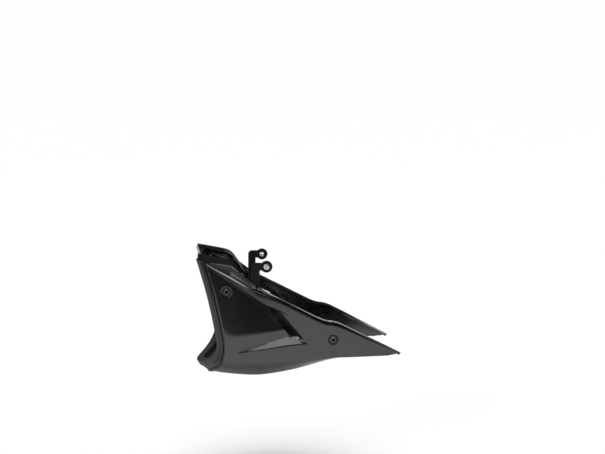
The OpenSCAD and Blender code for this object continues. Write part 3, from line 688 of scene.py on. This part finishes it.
def keySocket(screw, topDepth):
    key, bottomDepth = screw["key"], topDepth + screw["keyDepth"]
    return [(0, bottomDepth - 0.3), (hexagon(key * 0.96), bottomDepth), (hexagon(key), bottomDepth),
            (hexagon(key), topDepth + 0.25), (hexagon(key + 0.25), topDepth)]


def makePanelScrew(name, seat, plate):
    r, h, base = panelScrew["headRadius"], panelScrew["headHeight"], -seats["grommetLip"]
    dome = [(r * math.sin(a), base - h * math.cos(a) ** 0.9)
            for a in [math.radians(d) for d in range(34, 86, 7)]]
    profile = keySocket(panelScrew, base - h) + [(panelScrew["key"] + 0.7, base - h)] + dome
    profile += [(r, base - 0.35), (r - 0.25, base), (panelScrew["thread"], base)]
    profile += threadProfile(panelScrew, base + 0.4, base + plate + panelScrew["nutLength"])
    return smooth(turned(name, seat, profile), 30)


def makeEngineBolt(name, seat):
    r, h, shoulder = engineBolt["headRadius"], engineBolt["headHeight"], engineBolt["shoulder"]
    shoulderEnd = engineBolt["shoulderLength"]
    profile = keySocket(engineBolt, -h) + [(r - 0.6, -h), (r - 0.18, -h + 0.18), (r, -h + 0.6)]
    profile += [(r, -0.3), (r - 0.3, 0), (shoulder, 0), (shoulder, shoulderEnd)]
    profile += threadProfile(engineBolt, shoulderEnd + 0.3, shoulderEnd + engineBolt["free"])
    return smooth(turned(name, seat, profile), 30)


# Finishes, each with its colour, roughness, skin and waviness
finishes = {
    "panelPlastic": {"colour": (0.0050, 0.0051, 0.0053), "roughness": (0.17, 0.21), "ior": 1.75,
                     "grain": 1500, "grainDepth": 0.00001, "wave": 22, "waveDepth": 0.00006,
                     "underside": (0.044, 0.016, 0.50)},
    "nosePlastic": {"colour": (0.0055, 0.0055, 0.0055), "roughness": (0.28, 0.34), "ior": 1.6,
                    "grain": 1300, "grainDepth": 0.00001, "wave": 30, "waveDepth": 0.00005,
                    "underside": (0.078, 0.048, 0.40)},
    "blackSteel": {"colour": (0.005, 0.005, 0.0055), "roughness": (0.30, 0.42), "ior": 1.26,
                   "grain": 700, "grainDepth": 0.00003, "wave": 90, "waveDepth": 0.00005},
    "rubber": {"colour": (0.012, 0.012, 0.012), "roughness": (0.65, 0.8), "ior": 1.5,
               "grain": 1800, "grainDepth": 0.00003, "wave": 120, "waveDepth": 0.00004},
    "silverSteel": {"colour": (0.55, 0.56, 0.58), "roughness": (0.22, 0.38), "ior": 1.5, "metal": 1.0,
                    "grain": 900, "grainDepth": 0.000012, "wave": 160, "waveDepth": 0.00002},
    # painted shade: a near-black colour for the inside of the key sockets, standing for their shade, not the
    # steel's own colour
    "socketShade": {"colour": (0.002, 0.002, 0.002), "roughness": (0.6, 0.7), "ior": 1.2,
                    "grain": 900, "grainDepth": 0.000012, "wave": 160, "waveDepth": 0.00002},
    "screwSteel": {"colour": (0.10, 0.10, 0.105), "roughness": (0.28, 0.4), "ior": 1.5, "metal": 0.8,
                   "grain": 900, "grainDepth": 0.000012, "wave": 160, "waveDepth": 0.00002},
}


def makeFinish(name):
    look = finishes[name]
    material = bpy.data.materials.new(name)
    material.use_nodes = True
    tree = material.node_tree
    shader = tree.nodes["Principled BSDF"]
    shader.inputs["IOR"].default_value = look["ior"]
    shader.inputs["Metallic"].default_value = look.get("metal", 0.0)
    place = tree.nodes.new("ShaderNodeTexCoord")

    def noise(scale, detail):
        node = tree.nodes.new("ShaderNodeTexNoise")
        node.inputs["Scale"].default_value = scale
        node.inputs["Detail"].default_value = detail
        tree.links.new(place.outputs["Object"], node.inputs["Vector"])
        return node

    mottle = noise(look["wave"], 4)
    shade = tree.nodes.new("ShaderNodeValToRGB")  # a slight unevenness of colour
    low = [c * 0.85 for c in look["colour"]] + [1]
    high = [min(1, c * 1.2) for c in look["colour"]] + [1]
    shade.color_ramp.elements[0].position, shade.color_ramp.elements[0].color = 0.35, low
    shade.color_ramp.elements[1].position, shade.color_ramp.elements[1].color = 0.65, high
    tree.links.new(mottle.outputs["Fac"], shade.inputs["Fac"])
    tree.links.new(shade.outputs["Color"], shader.inputs["Base Color"])
    rough = tree.nodes.new("ShaderNodeMapRange")
    rough.inputs["From Min"].default_value, rough.inputs["From Max"].default_value = 0.3, 0.7
    rough.inputs["To Min"].default_value, rough.inputs["To Max"].default_value = look["roughness"]
    tree.links.new(noise(look["wave"] * 2.5, 5).outputs["Fac"], rough.inputs["Value"])
    tree.links.new(rough.outputs["Result"], shader.inputs["Roughness"])
    if "underside" in look:  # coarser below: from one height in m down to another, by that much
        height = tree.nodes.new("ShaderNodeSeparateXYZ")
        tree.links.new(place.outputs["Object"], height.inputs["Vector"])
        coarse = tree.nodes.new("ShaderNodeMapRange")
        for socket, value in zip(("From Min", "From Max", "To Max"), look["underside"]):
            coarse.inputs[socket].default_value = value
        tree.links.new(height.outputs["Z"], coarse.inputs["Value"])
        both = tree.nodes.new("ShaderNodeMath")
        tree.links.new(rough.outputs["Result"], both.inputs[0])
        tree.links.new(coarse.outputs["Result"], both.inputs[1])
        tree.links.new(both.outputs["Value"], shader.inputs["Roughness"])
    waves = tree.nodes.new("ShaderNodeBump")  # the faint waviness of a big moulding
    waves.inputs["Distance"].default_value = look["waveDepth"]
    tree.links.new(mottle.outputs["Fac"], waves.inputs["Height"])
    grain = tree.nodes.new("ShaderNodeBump")  # the fine grain of its skin
    grain.inputs["Distance"].default_value = look["grainDepth"]
    tree.links.new(noise(look["grain"], 3).outputs["Fac"], grain.inputs["Height"])
    tree.links.new(waves.outputs["Normal"], grain.inputs["Normal"])
    tree.links.new(grain.outputs["Normal"], shader.inputs["Normal"])
    return material


finish = {name: makeFinish(name) for name in finishes}
print("finishes mixed:", len(finish))
dress(leftPanel, finish["panelPlastic"], "panel_plastic", "left_side_panel")
dress(rightPanel, finish["panelPlastic"], "panel_plastic", "right_side_panel")
dress(noseSkin, finish["nosePlastic"], "nose_plastic", "nose_piece")


def blackenSocket(screw, seat):  # painted shade: the faces inside a key socket get a near-black colour for the shade they lie in
    deep = -seats["grommetLip"] - panelScrew["headHeight"] + panelScrew["keyDepth"] + 0.4
    reach = 0.0013 * panelScrew["key"]
    screw.data.materials.append(finish["socketShade"])
    for face in screw.data.polygons:
        gap = face.center - toFrame(fromSeat(seat, 0, 0, deep))
        if math.hypot(gap.x, gap.z) < reach and gap.y < 0:
            face.material_index = 1


for part, seat, plate in (("front", frontSeat, frontPlate), ("rear", rearSeat, rearPlate)):
    screw = makePanelScrew("left" + part.title() + "Screw", seat, plate)
    screw.data.materials.append(finish["screwSteel"])
    blackenSocket(screw, seat)
    other = mirrorCopy(screw, "right" + part.title() + "Screw")
    for obj, whose in ((screw, "left"), (other, "right")):
        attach(obj, "root")
        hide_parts(f"{whose}_{part}_panel_screw")
for part, seat in (("front", earSeat), ("rear", tabSeat)):
    bolt = makeEngineBolt("left" + part.title() + "Bolt", seat)
    other = mirrorCopy(bolt, "right" + part.title() + "Bolt")
    dress(bolt, finish["silverSteel"], "silver_bolt", f"left_{part}_bracket_bolt")
    dress(other, finish["silverSteel"], "silver_bolt", f"right_{part}_bracket_bolt")
print("screws and bolts made")

# Small parts, from their solids with the edges broken: finish, slot, width of the break in mm, steps
smallParts = {
    "bracket": ("blackSteel", "bracket_steel", 0.5, 3),
    "grommet": ("rubber", "rubber", 0.35, 2),
    "bush": ("silverSteel", "zinc_steel", 0.15, 2),
    "rivet_nut": ("silverSteel", "zinc_steel", 0.2, 2),
    "seam_nuts": ("silverSteel", "zinc_steel", 0.3, 2),
    "seam_screws": ("screwSteel", "black_screw", 0.3, 2),
    "chin_rivets": ("nosePlastic", "nose_plastic", 0.6, 3),
}


def softened(node, width, steps):
    parts = node.split("_")
    obj = addObject(parts[0] + "".join(p.title() for p in parts[1:]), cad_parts[node].data.copy())
    fixNormals(obj)
    bm = bmesh.new()
    bm.from_mesh(obj.data)
    bmesh.ops.dissolve_limit(bm, angle_limit=math.radians(1), verts=bm.verts, edges=bm.edges)
    bm.to_mesh(obj.data)
    bm.free()
    edge = obj.modifiers.new("broken edges", "BEVEL")
    edge.width, edge.segments = width / 1000, steps
    edge.limit_method, edge.angle_limit = "ANGLE", math.radians(40)
    return smooth(settle(obj), 30)


for node in sorted(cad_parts):
    for kind, (look, slotName, width, steps) in smallParts.items():
        if node.endswith(kind):
            dress(softened(node, width, steps), finish[look], slotName, node)
print("small parts made")

# The studio: lengths in m, and for each lamp its strength, width, tilt and turn
studio = {
    "floorColour": (0.90, 0.90, 0.895), "floorRoughness": 0.9, "floorShine": 0.1,
    "floorReach": 30, "floorDrop": 0.19,
    "lamps": {"overhead": (1.52, 36, 0, 0), "front": (1.1, 46, 34, -6), "side": (0.6, 24, 55.4, -64.8),
              "rear": (0.8, 34, -5.7, 37)},
    "skySteps": [(0.0, 0.99), (0.040, 0.99), (0.056, 0.03), (0.80, 0.03), (0.90, 0.3), (1.0, 0.5)],
}
bpy.ops.mesh.primitive_plane_add(size=2 * studio["floorReach"], location=(0, 0, 0))
floor = bpy.context.object
floor.name = "floor"
floor.location.z = cadBox[0][2] - studio["floorDrop"]
floorLook = bpy.data.materials.new("paleFloor")
floorLook.use_nodes = True
floorShader = floorLook.node_tree.nodes["Principled BSDF"]
floorShader.inputs["Base Color"].default_value = (*studio["floorColour"], 1)
floorShader.inputs["Roughness"].default_value = studio["floorRoughness"]
floorShader.inputs["Specular IOR Level"].default_value = studio["floorShine"]
floor.data.materials.append(floorLook)

world = bpy.data.worlds.new("studio")
bpy.context.scene.world = world
world.use_nodes = True
tree = world.node_tree
way = tree.nodes.new("ShaderNodeTexCoord")
split = tree.nodes.new("ShaderNodeSeparateXYZ")
sky = tree.nodes.new("ShaderNodeValToRGB")  # pale at the floor's edge, dim above it, bright overhead
tree.links.new(way.outputs["Generated"], split.inputs["Vector"])
tree.links.new(split.outputs["Z"], sky.inputs["Fac"])
tree.links.new(sky.outputs["Color"], tree.nodes["Background"].inputs["Color"])
stops = sky.color_ramp.elements
for place, level in studio["skySteps"][1:-1]:
    stops.new(place)
for stop, (place, level) in zip(sorted(stops, key=lambda e: e.position), studio["skySteps"]):
    stop.position, stop.color = place, (level, level, level * 1.01, 1)

for name, (strength, width, tilt, turn) in studio["lamps"].items():  # each like a round softbox far off
    lamp = bpy.data.lights.new(name, "SUN")
    lamp.energy, lamp.angle = strength, math.radians(width)
    holder = bpy.data.objects.new(name, lamp)
    holder.rotation_euler = (math.radians(tilt), math.radians(turn), 0)
    bpy.context.scene.collection.objects.link(holder)

# The camera, placed and turned as the photograph's own was, for a picture 605 x 454
view = {"place": (-0.1825, -3.515, 0.5495), "turn": 3.176, "tilt": 4.556, "roll": 0.379,
        "focalPixels": 1926.8, "pictureWidth": 605, "sensor": 36, "farthest": 100}
cameraData = bpy.data.cameras.new("camera")
cameraData.sensor_width = view["sensor"]
cameraData.lens = view["focalPixels"] / view["pictureWidth"] * view["sensor"]
cameraData.clip_end = view["farthest"]
camera = bpy.data.objects.new("camera", cameraData)
camera.location = view["place"]
heading = Matrix.Rotation(math.radians(-view["turn"]), 3, "Z")
lean = Matrix.Rotation(math.radians(90 - view["tilt"]), 3, "X")
roll = Matrix.Rotation(math.radians(view["roll"]), 3, "Z")
camera.rotation_euler = (heading @ lean @ roll).to_euler()
bpy.context.scene.collection.objects.link(camera)
bpy.context.scene.camera = camera
bpy.context.scene.view_settings.view_transform = "Standard"
print("studio and camera set")
